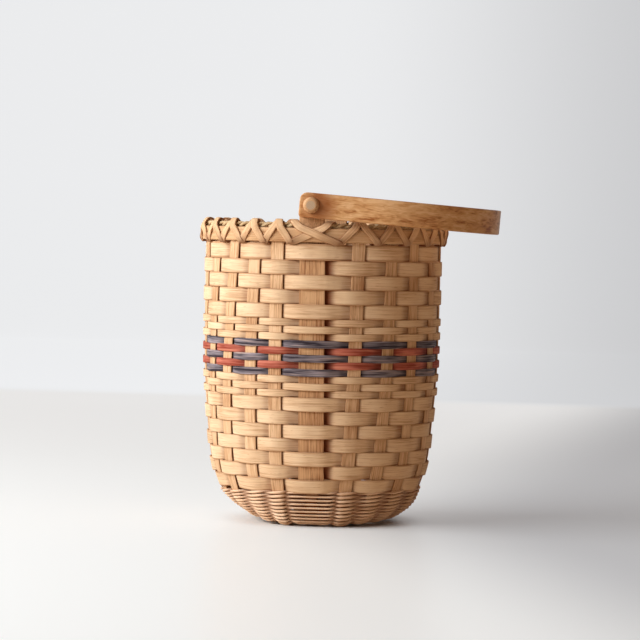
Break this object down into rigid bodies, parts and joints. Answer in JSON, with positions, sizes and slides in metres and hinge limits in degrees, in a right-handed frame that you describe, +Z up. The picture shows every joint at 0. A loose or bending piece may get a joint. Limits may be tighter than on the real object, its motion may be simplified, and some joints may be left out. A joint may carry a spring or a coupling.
{
  "type": "splint basket",
  "caption": "Round-sided woven splint basket on a square mat base, with dyed bands, an X-lashed rim and a bent wood swing handle on pegs.",
  "frame": {"origin": "centre of the woven mat's underside, where the basket rests, on the wall's own axis", "axes": "+Z up out of the mouth, -Y towards the front handle stave, +X towards the side that the folded handle lies on"},
  "size_m": [0.2837, 0.254, 0.3073],
  "materials": {
    "upright_splint": "split surface, matt, slightly darker and pinker than the rows",
    "weaver_splint": "natural splint, matt with fine long grain",
    "blue_splint": "slate blue dye, matt, worn unevenly",
    "red_splint": "brick red dye, matt, worn unevenly",
    "round_reed": "natural round reed, satin",
    "hoop_splint": "smooth flat hoop, satin",
    "lashing_reed": "flat oval lashing reed, satin",
    "stave_wood": "reddish brown wood, oiled",
    "peg_wood": "turned dowel, greyed end grain",
    "bow_wood": "honey brown bent hardwood, oiled, mottled figure"
  },
  "bodies": {
    "basket": {"upright_front_back_1": "upright_splint", "upright_front_back_2": "upright_splint", "upright_front_back_3": "upright_splint", "upright_front_back_4": "upright_splint", "upright_front_back_5": "upright_splint", "upright_left_right_1": "upright_splint", "upright_left_right_2": "upright_splint", "upright_left_right_3": "upright_splint", "upright_left_right_4": "upright_splint", "upright_left_right_5": "upright_splint", "wide_weaver_01": "weaver_splint", "wide_weaver_02": "weaver_splint", "wide_weaver_03": "weaver_splint", "wide_weaver_04": "weaver_splint", "wide_weaver_05": "weaver_splint", "narrow_weaver_06": "weaver_splint", "narrow_weaver_07": "weaver_splint", "narrow_weaver_08": "weaver_splint", "blue_weaver_09": "blue_splint", "red_weaver_10": "red_splint", "blue_weaver_11": "blue_splint", "red_weaver_12": "red_splint", "blue_weaver_13": "blue_splint", "narrow_weaver_14": "weaver_splint", "narrow_weaver_15": "weaver_splint", "narrow_weaver_16": "weaver_splint", "wide_weaver_17": "weaver_splint", "wide_weaver_18": "weaver_splint", "wide_weaver_19": "weaver_splint", "wide_weaver_20": "weaver_splint", "wide_weaver_21": "weaver_splint", "wide_weaver_22": "weaver_splint", "wide_weaver_23": "weaver_splint", "twined_reed_01": "round_reed", "twined_reed_02": "round_reed", "twined_reed_03": "round_reed", "twined_reed_04": "round_reed", "twined_reed_05": "round_reed", "twined_reed_06": "round_reed", "twined_reed_07": "round_reed", "twined_reed_08": "round_reed", "twined_reed_09": "round_reed", "twined_reed_10": "round_reed", "twined_reed_11": "round_reed", "twined_reed_12": "round_reed", "rim_hoop_outer": "hoop_splint", "rim_hoop_inner": "hoop_splint", "rim_filler_right": "round_reed", "rim_filler_left": "round_reed", "rim_lashing_under": "lashing_reed", "rim_lashing_over": "lashing_reed", "handle_stave_front": "stave_wood", "handle_stave_back": "stave_wood", "handle_peg_front": "peg_wood", "handle_peg_back": "peg_wood"},
    "handle": {"handle_bow": "bow_wood"}
  },
  "joints": [
    {"name": "handle_swing", "type": "hinge", "parent": "basket", "child": "handle", "pos_m": [0, 0, 0.2955], "axis": [0, -1, 0], "range_deg": [0, 188]}
  ]
}
